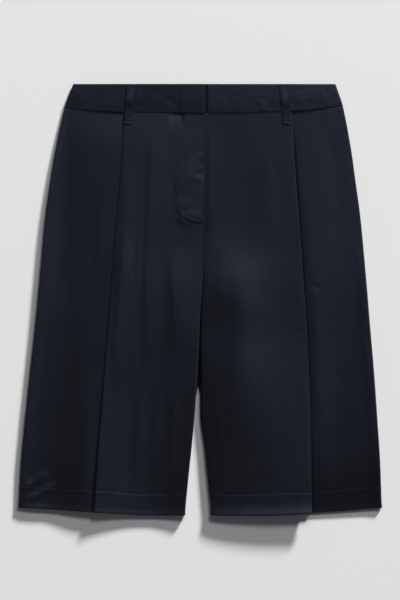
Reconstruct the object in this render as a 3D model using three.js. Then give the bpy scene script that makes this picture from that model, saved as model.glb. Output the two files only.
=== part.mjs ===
// Bermuda shorts in heavy satin, laid flat on their back with the front up.
// The frame is in millimetres: X across, Y up the garment to the waist, Z up from the surface.
// The origin is on that surface, under the middle of the garment.
// Left and right are the wearer's, so the right leg lies at -X.
//
// Two measures run through the file. "down" is the distance below the waistband's top edge.
// "out" is the distance from the garment's middle line, outwards on the leg's own side.

import * as THREE from "three";

// Driving dimensions.
const LENGTH = 626; // top edge of the waistband to the lowest point of the hems
const CLOTH = 1.0; // one layer of cloth
const BAND = 1.6; // the waistband, two layers with stiffening
const LOOP = { thick: 1.2, width: 11, length: 58, barThick: 1.8, stand: 1.0 };
const GAP = 0.3; // between two pieces at a seam or one above the other
const SEAM_DOWN = 42.8; // waistband seam at the centre front
const FLY_END = 203; // bottom of the fly
const CROTCH = 291;
const CENTRE_BACK = 4; // the centre back seam lies a little to the left
const HEM = 30; // depth of the turned hem
const HEM_INSIDE = 0.65; // what the turning adds inside the leg
const HEM_OUTSIDE = 0.15; // and what shows of it as a ridge
const EDGE_ROLL = 3.2; // width of the roll from the front's face down to a leg seam
const PLEAT_STITCHED = 150; // the pleat is sewn shut down to here and opens below it
const PLEAT_UNDER = { top: 24, hem: 20 }; // how far the pleat runs back under its fold
const PLEAT_TURN = { top: 0.65, outerAtHem: 1.75, innerAtHem: 1.25 }; // radii of its two turns
const LIFT = LOOP.thick + GAP; // the back stands this high over its belt loops
const LIFT_ENDS = { from: 66, to: 92 };
const BUTT = 0.8; // width of the rounded edge of a band

const NAVY = 0x1c2029;
const satin = () =>
  new THREE.MeshStandardMaterial({ color: NAVY, roughness: 0.42, metalness: 0 });

// The line where the two fronts meet. edge: how far the right front's edge lies to the left.
// apart: from that edge to the left front's, less than 0 where the left front runs under it.
const CENTRE_LINE = [
  { down: 0, edge: 7.6, apart: -5.0 },
  { down: 110, edge: 7.2, apart: -5.0 },
  { down: 154, edge: 6.6, apart: -5.0 },
  { down: 203, edge: 5.0, apart: -5.0 },
  { down: 219, edge: 3.8, apart: 0.3 },
  { down: 238, edge: 2.8, apart: 0.3 },
  { down: 262, edge: 4.9, apart: 0.3 },
  { down: 291, edge: 3.6, apart: 0.6 },
  { down: 328, edge: 0.7, apart: 0.7 },
  { down: 381, edge: -1.3, apart: 0.8 },
  { down: 429, edge: -3.3, apart: 1.2 },
  { down: 480, edge: -7.4, apart: 7.4 },
  { down: 524, edge: -11.7, apart: 17.5 },
  { down: 567, edge: -16.2, apart: 26.2 },
  { down: 626, edge: -22.0, apart: 38.4 },
];

// Each leg from above: side is the side seam and fold is the pleat's fold edge, both outwards.
// The waistband seam and the hem rise towards the side by seamRise and hemRise.
// heights has the cloth's face above the surface: inner beside the inner edge, fold on the
// pleat's fold, under where the outer part comes out below it, and side before the side seam,
// with the crown of the two parts between them. swell is the power by which the inner part
// rises to the fold: less than 1 where it bulges beside the inner edge.
const RIGHT_LEG = {
  toward: -1,
  seamRise: 6.5,
  hem: { rise: 11.6, from: 85, power: 0.95 },
  edges: [
    { down: 0, side: 184.0, fold: 109.5 },
    { down: 36, side: 195.6, fold: 111.0 },
    { down: 110, side: 211.4, fold: 113.5 },
    { down: 154, side: 218.4, fold: 117.2 },
    { down: 203, side: 225.1, fold: 121.3 },
    { down: 291, side: 233.0, fold: 128.4 },
    { down: 371, side: 240.8, fold: 134.5 },
    { down: 436, side: 247.9, fold: 139.5 },
    { down: 502, side: 254.8, fold: 144.7 },
    { down: 560, side: 260.3, fold: 149.2 },
    { down: 626, side: 264.0, fold: 153.7 },
  ],
  heights: [
    { down: 36, inner: 5.2, fold: 6.6, under: 3.9, side: 4.8, innerCrown: 0.9, outerCrown: 0.4, swell: 1 },
    { down: 154, inner: 5.4, fold: 7.9, under: 5.2, side: 6.2, innerCrown: 1.4, outerCrown: 1.2, swell: 1.1 },
    { down: 291, inner: 7, fold: 10.8, under: 7, side: 7.8, innerCrown: 1, outerCrown: 0.7, swell: 1.4 },
    { down: 436, inner: 8.8, fold: 13.5, under: 8.8, side: 8.2, innerCrown: 0, outerCrown: 0, swell: 2.2 },
    { down: 626, inner: 9.1, fold: 16.2, under: 9.8, side: 6.6, innerCrown: 0.2, outerCrown: 0.4, swell: 1.3 },
  ],
  folds: [
    { fromOut: 68, fromDown: 70, toOut: 80, toDown: 440, rise: 1.2, half: 13 },
    { fromOut: 42, fromDown: 225, toOut: 34, toDown: 370, rise: 1.1, half: 18 },
    { fromOut: 98, fromDown: 440, toOut: 111, toDown: 590, rise: -0.9, half: 12 },
    { fromOut: 204, fromDown: 90, toOut: 216, toDown: 560, rise: -1, half: 18 },
    { fromOut: 168, fromDown: 440, toOut: 182, toDown: 600, rise: 1.2, half: 24 },
  ],
};
const LEFT_LEG = {
  toward: 1,
  seamRise: 9.8,
  hem: { rise: 11, from: 100, power: 1.3 },
  edges: [
    { down: 0, side: 196.6, fold: 130.5 },
    { down: 36, side: 206.3, fold: 132.5 },
    { down: 110, side: 220.1, fold: 137.0 },
    { down: 154, side: 226.1, fold: 140.2 },
    { down: 203, side: 232.7, fold: 143.6 },
    { down: 291, side: 241.0, fold: 150.0 },
    { down: 371, side: 247.7, fold: 155.2 },
    { down: 436, side: 253.2, fold: 158.2 },
    { down: 502, side: 257.8, fold: 160.2 },
    { down: 560, side: 261.6, fold: 161.0 },
    { down: 626, side: 264.0, fold: 161.3 },
  ],
  heights: [
    { down: 36, inner: 5.2, fold: 6.6, under: 3.9, side: 4.8, innerCrown: 0.4, outerCrown: 0.4, swell: 0.85 },
    { down: 154, inner: 5.2, fold: 8, under: 5.2, side: 5, innerCrown: 1.6, outerCrown: 1.4, swell: 0.85 },
    { down: 291, inner: 5.8, fold: 12.4, under: 6.4, side: 5.4, innerCrown: 2, outerCrown: 1.8, swell: 0.85 },
    { down: 436, inner: 6, fold: 16.6, under: 7.4, side: 5.6, innerCrown: 2.4, outerCrown: 1.6, swell: 0.85 },
    { down: 626, inner: 7, fold: 20.2, under: 8.8, side: 6.2, innerCrown: 2.6, outerCrown: 0.8, swell: 0.85 },
  ],
  folds: [
    { fromOut: 60, fromDown: 290, toOut: 46, toDown: 480, rise: 1.2, half: 22 },
    { fromOut: 98, fromDown: 300, toOut: 92, toDown: 470, rise: 1.0, half: 22 },
    { fromOut: 185, fromDown: 250, toOut: 184, toDown: 500, rise: 1.0, half: 15 },
    { fromOut: 212, fromDown: 300, toOut: 214, toDown: 600, rise: -1.2, half: 16 },
  ],
};

// The face of each front band above the surface, across the garment. The right band's end
// laps over the left one's, which runs on under it to the right.
const UNDERLAP_END = -26;
const RIGHT_BAND = [
  { x: -196, face: 5 },
  { x: -112, face: 7 },
  { x: -44, face: 7 },
  { x: -32, face: 7.4 },
  { x: 8, face: 7.4 },
];
const LEFT_BAND = [
  { x: -26, face: 5 },
  { x: 9, face: 5 },
  { x: 18, face: 6.6 },
  { x: 130, face: 7 },
  { x: 206, face: 5 },
];

// The fly shield: a strip under the fly with one lower corner rounded off.
const SHIELD = { right: -36, left: 8, corner: 36, relief: 0.6 };

const mix = (a, b, t) => a + (b - a) * t;
const clamp = (t) => Math.min(1, Math.max(0, t));
const fade = (from, to, at) => {
  const t = clamp((at - from) / (to - from));
  return t * t * (3 - 2 * t);
};

// A table's column at some place: a cubic between the rows that never overshoots them.
function read(table, column, place, key = "down") {
  const last = table.length - 1;
  const at = Math.min(table[last][key], Math.max(table[0][key], place));
  let i = 0;
  while (i < last - 1 && at > table[i + 1][key]) i += 1;
  const rate = (k) => (table[k + 1][column] - table[k][column]) / (table[k + 1][key] - table[k][key]);
  const slope = (k) => {
    if (k === 0) return rate(0);
    if (k === last) return rate(last - 1);
    const [before, after] = [rate(k - 1), rate(k)];
    return before * after <= 0 ? 0 : (2 * before * after) / (before + after);
  };
  const span = table[i + 1][key] - table[i][key];
  const t = (at - table[i][key]) / span;
  return (
    (2 * t ** 3 - 3 * t ** 2 + 1) * table[i][column] +
    (t ** 3 - 2 * t ** 2 + t) * span * slope(i) +
    (3 * t ** 2 - 2 * t ** 3) * table[i + 1][column] +
    (t ** 3 - t ** 2) * span * slope(i + 1)
  );
}

const side = (leg, down) => read(leg.edges, "side", down);
const innerEdge = (leg, down) => {
  const edge = read(CENTRE_LINE, "edge", down);
  return leg === RIGHT_LEG ? -edge : edge + read(CENTRE_LINE, "apart", down);
};

// Where a row of a panel lies: share is 0 at the waistband seam and 1 at the hem.
function rowDown(leg, out, share) {
  const reach = Math.max(0, out);
  const seam = SEAM_DOWN + GAP / 2 - leg.seamRise * (reach / side(leg, SEAM_DOWN)) ** 3;
  const past = Math.max(0, reach - leg.hem.from) / (side(leg, LENGTH) - leg.hem.from);
  const hem = LENGTH - leg.hem.rise * past ** leg.hem.power;
  return mix(seam, hem, share);
}
const yOf = (down) => LENGTH / 2 - down;

// What lies above the surface at the centre, layer by layer: the back, the fly shield,
// the left front and, over it, the right front.
const LAYER = CLOTH + GAP;
const lift = (down) => LIFT * (1 - fade(LIFT_ENDS.from, LIFT_ENDS.to, down));
const shieldFloor = (down) => lift(down) + LAYER;
const underFly = (down) => shieldFloor(down) + LAYER + CLOTH;
const overFly = (down) => underFly(down) + LAYER;

// The height of the side seams and inseams, where the back's turned-up edge meets the front.
const backCurl = (down) => CLOTH / 2 + mix(0.2, 1.3, fade(SEAM_DOWN, SEAM_DOWN + 70, down));
const seamHeight = (down) => lift(down) + CLOTH / 2 + backCurl(down);
// 0 where the fronts meet flat along the centre, 1 where their edges turn down to the inseams.
const inseamTurn = (down) => fade(FLY_END + 45, CROTCH + 12, down);

// How far the soft folds raise or sink the cloth. Each is a straight run from one place to
// another, tapered at both ends, with its half-width.
function foldRise(leg, out, down) {
  let rise = 0;
  for (const fold of leg.folds) {
    const runOut = fold.toOut - fold.fromOut;
    const runDown = fold.toDown - fold.fromDown;
    const run = Math.hypot(runOut, runDown);
    const [fromOut, fromDown] = [out - fold.fromOut, down - fold.fromDown];
    const along = (fromOut * runOut + fromDown * runDown) / run ** 2;
    const away = (fromOut * runDown - fromDown * runOut) / run;
    const ends = fade(-0.05, 0.3, along) * (1 - fade(0.7, 1.05, along));
    rise += fold.rise * ends * Math.exp(-((away / fold.half) ** 2));
  }
  return rise;
}

// The shield's outline shows through the right front above it.
function shieldRise(leg, out, down) {
  if (leg !== RIGHT_LEG) return 0;
  const across = 1 - fade(-SHIELD.right - 5, -SHIELD.right + 5, out);
  return SHIELD.relief * across * fade(120, 150, down) * (1 - fade(FLY_END - 8, FLY_END + 8, down));
}

// The height of the front's face just out from its inner edge.
function innerHeight(leg, down) {
  const free = read(leg.heights, "inner", down);
  if (leg === RIGHT_LEG) return mix(overFly(down), free, fade(FLY_END, FLY_END + 35, down));
  return mix(underFly(down), free, fade(FLY_END + 17, FLY_END + 38, down));
}

// The middle line of the cloth across one front, as points out and up. It starts at the inner
// edge, rises onto the inner part, turns round the pleat's fold, runs back under it, turns
// again and goes on as the outer part to the side seam.
const STEPS = { roll: 3, inner: 10, turn: 4, under: 2, outer: 10 };

function frontLine(leg, down) {
  const open = clamp((down - PLEAT_STITCHED) / (LENGTH - PLEAT_STITCHED));
  const foldRadius = mix(PLEAT_TURN.top, PLEAT_TURN.outerAtHem, open);
  const underRadius = mix(PLEAT_TURN.top, PLEAT_TURN.innerAtHem, open);
  const foldOut = read(leg.edges, "fold", down);
  const foldZ = read(leg.heights, "fold", down) - CLOTH / 2;
  const innerZ = innerHeight(leg, down) - CLOTH / 2;
  const outerZ = read(leg.heights, "under", down) - CLOTH / 2;
  const sideZ = read(leg.heights, "side", down) - CLOTH / 2;
  const seamZ = seamHeight(down) + GAP;
  const turn = (inseamTurn(down) * Math.PI) / 2;
  const points = [];

  const start = innerEdge(leg, down) + (CLOTH / 2) * Math.sin(turn);
  for (let i = 0; i < STEPS.roll; i += 1) {
    const angle = ((i / STEPS.roll) * Math.PI) / 2;
    const low = mix(innerZ, seamZ, inseamTurn(down));
    points.push({
      out: start + EDGE_ROLL * (1 - Math.cos(angle)),
      z: mix(low, innerZ, Math.sin(angle)),
    });
  }

  const lap = leg === LEFT_LEG ? Math.max(0, -read(CENTRE_LINE, "apart", down)) : 0;
  const innerFrom = start + EDGE_ROLL + lap;
  const innerTo = foldOut - CLOTH / 2 - foldRadius;
  const innerCrown = read(leg.heights, "innerCrown", down);
  const swell = read(leg.heights, "swell", down);
  for (let i = 0; i < STEPS.inner; i += 1) {
    const t = i / (STEPS.inner - 1);
    const out = mix(innerFrom, innerTo, t);
    const soft = foldRise(leg, out, down) * fade(0, 0.12, t) * fade(0, 0.2, 1 - t);
    const crown = innerCrown * Math.sin(Math.PI * t);
    points.push({
      out,
      z: mix(innerZ, foldZ, t ** swell) + crown + soft + shieldRise(leg, out, down),
    });
  }

  for (let i = 1; i <= STEPS.turn; i += 1) {
    const angle = (i / STEPS.turn) * Math.PI;
    points.push({
      out: innerTo + foldRadius * Math.sin(angle),
      z: foldZ - foldRadius * (1 - Math.cos(angle)),
    });
  }

  const turnOut = foldOut - mix(PLEAT_UNDER.top, PLEAT_UNDER.hem, open);
  const turnZ = outerZ - 0.8 * open;
  for (let i = 1; i <= STEPS.under; i += 1) {
    const t = i / STEPS.under;
    points.push({
      out: mix(innerTo, turnOut, t),
      z: mix(foldZ - 2 * foldRadius, turnZ + 2 * underRadius, t),
    });
  }
  for (let i = 1; i <= STEPS.turn; i += 1) {
    const angle = (i / STEPS.turn) * Math.PI;
    points.push({
      out: turnOut - underRadius * Math.sin(angle),
      z: turnZ + underRadius * (1 + Math.cos(angle)),
    });
  }

  const outerTo = side(leg, down) - CLOTH / 2 - EDGE_ROLL;
  const outerCrown = read(leg.heights, "outerCrown", down);
  for (let i = 1; i <= STEPS.outer; i += 1) {
    const out = mix(turnOut, outerTo, (i / STEPS.outer) ** 0.9);
    const past = clamp((out - foldOut) / (outerTo - foldOut));
    const low = mix(turnZ, outerZ, fade(turnOut, foldOut, out));
    const soft = foldRise(leg, out, down) * fade(0, 0.2, past) * fade(0, 0.15, 1 - past);
    const crown = outerCrown * Math.sin(Math.PI * past ** 0.8);
    points.push({ out, z: mix(low, sideZ, fade(0, 1, past)) + crown + soft });
  }

  for (let i = 1; i <= STEPS.roll; i += 1) {
    const angle = ((i / STEPS.roll) * Math.PI) / 2;
    points.push({
      out: outerTo + EDGE_ROLL * Math.sin(angle),
      z: mix(seamZ, sideZ, Math.cos(angle)),
    });
  }
  return { points, from: [Math.cos(turn), Math.sin(turn)], to: [0, -1] };
}

// The back's middle line: its turned-up inner edge, the flat and the turned-up side.
const BACK_STEPS = { turn: 3, flat: 7 };

function backLine(leg, down) {
  const flatZ = lift(down) + CLOTH / 2;
  const radius = backCurl(down);
  const turn = (inseamTurn(down) * Math.PI) / 2;
  const centre = GAP / 2 + leg.toward * CENTRE_BACK;
  const legInner = fade(CROTCH - 30, CROTCH, down);
  const start = mix(centre, innerEdge(leg, down), legInner) + (CLOTH / 2) * Math.sin(turn);
  const flatTo = side(leg, down) - CLOTH / 2 - radius;
  const beside = EDGE_ROLL * (1 - Math.sin(turn));
  const points = [];
  for (let i = 0; i < BACK_STEPS.turn; i += 1) {
    const t = i / BACK_STEPS.turn;
    const angle = turn * (1 - t);
    points.push({
      out: start + radius * (Math.sin(turn) - Math.sin(angle)) + beside * t,
      z: flatZ + radius * (1 - Math.cos(angle)),
    });
  }
  const flatFrom = start + radius * Math.sin(turn) + beside;
  for (let i = 0; i <= BACK_STEPS.flat; i += 1) {
    points.push({ out: mix(flatFrom, flatTo, i / BACK_STEPS.flat), z: flatZ });
  }
  for (let i = 1; i <= BACK_STEPS.turn; i += 1) {
    const angle = ((i / BACK_STEPS.turn) * Math.PI) / 2;
    points.push({
      out: flatTo + radius * Math.sin(angle),
      z: flatZ + radius * (1 - Math.cos(angle)),
    });
  }
  return { points, from: [Math.cos(turn), -Math.sin(turn)], to: [0, 1] };
}

// A line moved sideways to one face of the cloth, square to its own direction.
function offset(line, distance) {
  const { points, from, to } = line;
  return points.map((p, i) => {
    let [runOut, runZ] = i === 0 ? from : to;
    if (i > 0 && i < points.length - 1) {
      runOut = points[i + 1].out - points[i - 1].out;
      runZ = points[i + 1].z - points[i - 1].z;
    }
    const run = Math.hypot(runOut, runZ);
    return { out: p.out - (distance * runZ) / run, z: p.z + (distance * runOut) / run };
  });
}

// The closed wall between two grids of points, its upper face and its lower face.
// Rows run down the garment and columns run outwards; toward is the side they run to.
function wall(upper, lower, toward) {
  const rows = upper.length;
  const columns = upper[0].length;
  const positions = [...upper.flat(), ...lower.flat()].flatMap((p) => [toward * p.out, p.y, p.z]);
  const index = [];
  const at = (layer, i, j) => (layer * rows + i) * columns + j;
  const quad = (a, b, c, d) => {
    if (toward > 0) index.push(a, b, c, a, c, d);
    else index.push(a, c, b, a, d, c);
  };
  for (let i = 0; i < rows - 1; i += 1) {
    for (let j = 0; j < columns - 1; j += 1) {
      quad(at(0, i, j), at(0, i + 1, j), at(0, i + 1, j + 1), at(0, i, j + 1));
      quad(at(1, i, j), at(1, i, j + 1), at(1, i + 1, j + 1), at(1, i + 1, j));
    }
    const end = columns - 1;
    quad(at(0, i, 0), at(1, i, 0), at(1, i + 1, 0), at(0, i + 1, 0));
    quad(at(0, i, end), at(0, i + 1, end), at(1, i + 1, end), at(1, i, end));
  }
  for (let j = 0; j < columns - 1; j += 1) {
    const end = rows - 1;
    quad(at(0, 0, j), at(0, 0, j + 1), at(1, 0, j + 1), at(1, 0, j));
    quad(at(0, end, j), at(1, end, j), at(1, end, j + 1), at(0, end, j + 1));
  }
  return new THREE.BufferGeometry()
    .setAttribute("position", new THREE.Float32BufferAttribute(positions, 3))
    .setIndex(index);
}

// Rows of a panel from the seam to the hem, closer where the shape changes.
const HEM_TOP = 1 - HEM / (LENGTH - SEAM_DOWN);
const PANEL_ROWS = [
  0, 0.03, 0.07, 0.115, 0.16, 0.205, 0.245, 0.275, 0.303, 0.34, 0.375, 0.405, 0.43, 0.47, 0.52,
  0.575, 0.63, 0.69, 0.75, 0.81, 0.87, HEM_TOP - 0.006, HEM_TOP + 0.002, 1,
];

function panel(leg, lineAt, ridge) {
  const upper = [];
  const lower = [];
  for (const share of PANEL_ROWS) {
    const line = lineAt(leg, mix(SEAM_DOWN, LENGTH, share));
    const turned = share > HEM_TOP ? 1 : 0;
    const inRow = (p, i) => ({ ...p, y: yOf(rowDown(leg, line.points[i].out, share)) });
    upper.push(offset(line, CLOTH / 2 + ridge.upper * turned).map(inRow));
    lower.push(offset(line, -CLOTH / 2 - ridge.lower * turned).map(inRow));
  }
  return wall(upper, lower, leg.toward);
}
const frontPanel = (leg) => panel(leg, frontLine, { upper: HEM_OUTSIDE, lower: HEM_INSIDE });
const backPanel = (leg) => panel(leg, backLine, { upper: HEM_INSIDE, lower: 0 });

// A stretch of waistband between two places across, with rounded edges.
const BAND_STEPS = 14;

function band(startAt, endAt, faceAt) {
  const upper = [];
  const lower = [];
  for (const share of [0, BUTT / SEAM_DOWN, 0.3, 0.65, 1]) {
    const start = startAt(share * SEAM_DOWN);
    const end = endAt(share * SEAM_DOWN);
    const across = [start];
    for (let i = 0; i <= BAND_STEPS; i += 1) {
      across.push(mix(start + BUTT, end - BUTT, i / BAND_STEPS));
    }
    across.push(end);
    const point = (x, i, sign) => {
      const leg = x < 0 ? RIGHT_LEG : LEFT_LEG;
      const seam = rowDown(leg, Math.abs(x), 0) - GAP;
      const atEdge = share === 0 || i === 0 || i === across.length - 1;
      const half = (BAND / 2) * (atEdge ? 0.5 : 1);
      return { out: x, y: yOf(share * seam), z: faceAt(x) - BAND / 2 + sign * half };
    };
    upper.push(across.map((x, i) => point(x, i, 1)));
    lower.push(across.map((x, i) => point(x, i, -1)));
  }
  return wall(upper, lower, 1);
}

// The fly shield, flat between the back and the left front's edge.
const SHIELD_STEPS = 6;

function flyShield() {
  const upper = [];
  const lower = [];
  for (const share of PANEL_ROWS.slice(0, 8)) {
    const down = rowDown(RIGHT_LEG, 0, share);
    const intoCorner = clamp((down - (FLY_END - SHIELD.corner)) / SHIELD.corner);
    const start = SHIELD.right + SHIELD.corner * (1 - Math.sqrt(1 - 0.96 * intoCorner ** 2));
    const floor = shieldFloor(mix(SEAM_DOWN, LENGTH, share));
    const row = (z) =>
      Array.from({ length: SHIELD_STEPS + 1 }, (_, i) => ({
        out: mix(start, SHIELD.left, i / SHIELD_STEPS),
        y: yOf(down),
        z,
      }));
    upper.push(row(floor + CLOTH));
    lower.push(row(floor));
  }
  return wall(upper, lower, 1);
}

// A belt loop: a slanting strip whose lower end has a sewn bar. floorAt gives the height of
// what it lies on, and stand is how far it stands proud of that between its ends.
const LOOP_ROWS = [0, 0.1, 0.22, 0.36, 0.5, 0.64, 0.74, 0.84, 0.925, 0.935, 1];

function beltLoop(topX, bottomX, floorAt, stand, barThick) {
  const upper = [];
  const lower = [];
  for (const share of LOOP_ROWS) {
    const down = mix(GAP, LOOP.length, share);
    const centre = mix(topX, bottomX, share);
    const low = floorAt(down) + stand * Math.sin(Math.PI * clamp(share / 0.9)) ** 2;
    const thick = share > 0.93 ? barThick : LOOP.thick;
    const row = (z, drop) =>
      [-1, -0.85, 0.85, 1].map((across) => ({
        out: centre + (across * LOOP.width) / 2,
        y: yOf(down),
        z: Math.abs(across) === 1 ? z - drop : z,
      }));
    upper.push(row(low + thick, 0.4));
    lower.push(row(low, 0));
  }
  return wall(upper, lower, 1);
}

// What a front loop lies on: its band, and below the seam the pleat's fold beside it.
const bandFace = (table) => (x) => read(table, "face", x, "x");
function frontLoopFloor(leg, table, x) {
  return (down) => {
    const onPanel = read(leg.heights, "fold", down) + 0.2;
    return GAP + mix(bandFace(table)(x), onPanel, fade(25, 38, down));
  };
}
const onSurface = () => 0;

function piece(name, geometry) {
  geometry.computeVertexNormals();
  const mesh = new THREE.Mesh(geometry, satin());
  mesh.name = name;
  return mesh;
}

const rightSide = (down) => -side(RIGHT_LEG, down);
const leftSide = (down) => side(LEFT_LEG, down);
const lapEnd = (down) => read(CENTRE_LINE, "edge", down);

const shorts = new THREE.Group();
shorts.add(
  piece("front_right", frontPanel(RIGHT_LEG)),
  piece("front_left", frontPanel(LEFT_LEG)),
  piece("back_right", backPanel(RIGHT_LEG)),
  piece("back_left", backPanel(LEFT_LEG)),
  piece("fly_shield", flyShield()),
  piece("waistband_front_right", band(rightSide, lapEnd, bandFace(RIGHT_BAND))),
  piece("waistband_front_left", band(() => UNDERLAP_END, leftSide, bandFace(LEFT_BAND))),
  piece("waistband_back", band(rightSide, leftSide, () => LIFT + BAND)),
);

const FRONT_LOOPS = [
  { name: "belt_loop_front_right", leg: RIGHT_LEG, band: RIGHT_BAND, topX: -100, bottomX: -105 },
  { name: "belt_loop_front_left", leg: LEFT_LEG, band: LEFT_BAND, topX: 121, bottomX: 126.5 },
];
for (const loop of FRONT_LOOPS) {
  const floor = frontLoopFloor(loop.leg, loop.band, loop.bottomX);
  shorts.add(piece(loop.name, beltLoop(loop.topX, loop.bottomX, floor, LOOP.stand, LOOP.barThick)));
}

const BACK_LOOPS = [
  { name: "belt_loop_back_right", x: -112 },
  { name: "belt_loop_back_centre", x: CENTRE_BACK },
  { name: "belt_loop_back_left", x: 120 },
];
for (const loop of BACK_LOOPS) {
  shorts.add(piece(loop.name, beltLoop(loop.x, loop.x, onSurface, 0, LOOP.thick)));
}

export default shorts;
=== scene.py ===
# Bermuda shorts in heavy navy satin, laid flat on their back with the front up.
# Left and right are the wearer's, so the right leg lies at -X. Shapes are worked out in
# millimetres: "down" runs from the waistband's top edge to the hems, and "out" from the
# garment's middle line outwards along the leg's own side.

import math

import bpy
import numpy as np
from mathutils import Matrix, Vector
from mathutils.bvhtree import BVHTree


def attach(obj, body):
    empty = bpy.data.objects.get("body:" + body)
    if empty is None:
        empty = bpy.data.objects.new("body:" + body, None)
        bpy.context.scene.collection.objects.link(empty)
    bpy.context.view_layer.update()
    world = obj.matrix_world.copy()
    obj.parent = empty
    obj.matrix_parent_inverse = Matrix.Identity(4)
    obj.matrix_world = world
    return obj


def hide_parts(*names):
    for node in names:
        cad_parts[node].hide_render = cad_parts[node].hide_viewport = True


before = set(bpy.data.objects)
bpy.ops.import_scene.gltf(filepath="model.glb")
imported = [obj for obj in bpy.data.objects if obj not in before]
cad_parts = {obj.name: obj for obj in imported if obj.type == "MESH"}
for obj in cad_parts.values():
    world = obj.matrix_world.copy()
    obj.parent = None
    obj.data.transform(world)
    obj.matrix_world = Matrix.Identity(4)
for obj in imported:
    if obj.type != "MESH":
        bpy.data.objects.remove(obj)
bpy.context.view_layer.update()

# The surface, the light and the camera
# The shorts lie on a plain pale surface in a bright room with a dark ceiling. One lamp stands
# low beyond the waist and to the right, and the camera looks straight down on the front.
VIEW_HIGH = 0.870
CAMERA_HEIGHT = 5.0
CLOTH_HEIGHT = 0.008
LAMP_TURN, LAMP_RISE = math.radians(29.4), math.radians(20)
LAMP_POWER, LAMP_SPREAD = 5.6, math.radians(9)
WINDOW_POWER = 52
ROOM_STRENGTH = 0.3


def plain_material(name, colour, roughness):
    """A Principled material of one colour."""
    material = bpy.data.materials.new(name)
    material.use_nodes = True
    shader = material.node_tree.nodes["Principled BSDF"]
    shader.inputs["Base Color"].default_value = (*colour, 1)
    shader.inputs["Roughness"].default_value = roughness
    return material


floor_mesh = bpy.data.meshes.new("floor")
FLOOR_REACH = 9.0
floor_mesh.from_pydata(
    [(x * FLOOR_REACH, y * FLOOR_REACH, -0.0004) for x, y in ((-1, -1), (1, -1), (1, 1), (-1, 1))],
    [],
    [(0, 1, 2, 3)],
)
floor_mesh.materials.append(plain_material("pale_paper", (0.815, 0.815, 0.815), 0.9))
floor = bpy.data.objects.new("floor", floor_mesh)
bpy.context.scene.collection.objects.link(floor)


def aimed(name, data, place, target=(0, 0, 0)):
    """An object whose -Z axis points from its place to the target."""
    thing = bpy.data.objects.new(name, data)
    thing.location = place
    away = Vector(place) - Vector(target)
    thing.rotation_euler = away.to_track_quat("Z", "Y").to_euler()
    bpy.context.scene.collection.objects.link(thing)
    return thing


lamp = bpy.data.lights.new("lamp", "SUN")
lamp.energy = LAMP_POWER
lamp.angle = LAMP_SPREAD
aimed(
    "lamp",
    lamp,
    (
        4 * math.sin(LAMP_TURN) * math.cos(LAMP_RISE),
        4 * math.cos(LAMP_TURN) * math.cos(LAMP_RISE),
        4 * math.sin(LAMP_RISE),
    ),
)

window = bpy.data.lights.new("window", "AREA")
window.shape = "RECTANGLE"
window.size, window.size_y = 1.5, 1.0
window.energy = WINDOW_POWER
aimed("window", window, (0.9, 2.5, 3.4), (0, 0.1, 0))

room = bpy.data.worlds.new("room")
bpy.context.scene.world = room
room.use_nodes = True
nodes, links = room.node_tree.nodes, room.node_tree.links
direction = nodes.new("ShaderNodeTexCoord")
split = nodes.new("ShaderNodeSeparateXYZ")
ramp = nodes.new("ShaderNodeValToRGB")
ramp.color_ramp.elements[0].position = 0.0
ramp.color_ramp.elements[0].color = (0.72, 0.73, 0.75, 1)
ramp.color_ramp.elements[1].position = 0.95
ramp.color_ramp.elements[1].color = (0.10, 0.105, 0.12, 1)
links.new(direction.outputs["Generated"], split.inputs[0])
links.new(split.outputs["Z"], ramp.inputs[0])
links.new(ramp.outputs[0], nodes["Background"].inputs["Color"])
nodes["Background"].inputs["Strength"].default_value = ROOM_STRENGTH

camera = bpy.data.cameras.new("camera")
camera.sensor_fit = "AUTO"
camera.sensor_width = 36
camera.lens = 36 * (CAMERA_HEIGHT - CLOTH_HEIGHT) / VIEW_HIGH
bpy.context.scene.camera = aimed("camera", camera, (0, -0.0004, CAMERA_HEIGHT), (0, -0.0004, 0))
bpy.context.scene.camera.rotation_euler = (0, 0, 0)
bpy.context.scene.view_settings.view_transform = "Standard"

# The satin
# A heavy navy satin with long floats that run down the garment. Its face has a soft sheen,
# fine lengthwise streaks and shallow wrinkles a few millimetres across.
NAVY = (0.0034, 0.0023, 0.0020)


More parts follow.
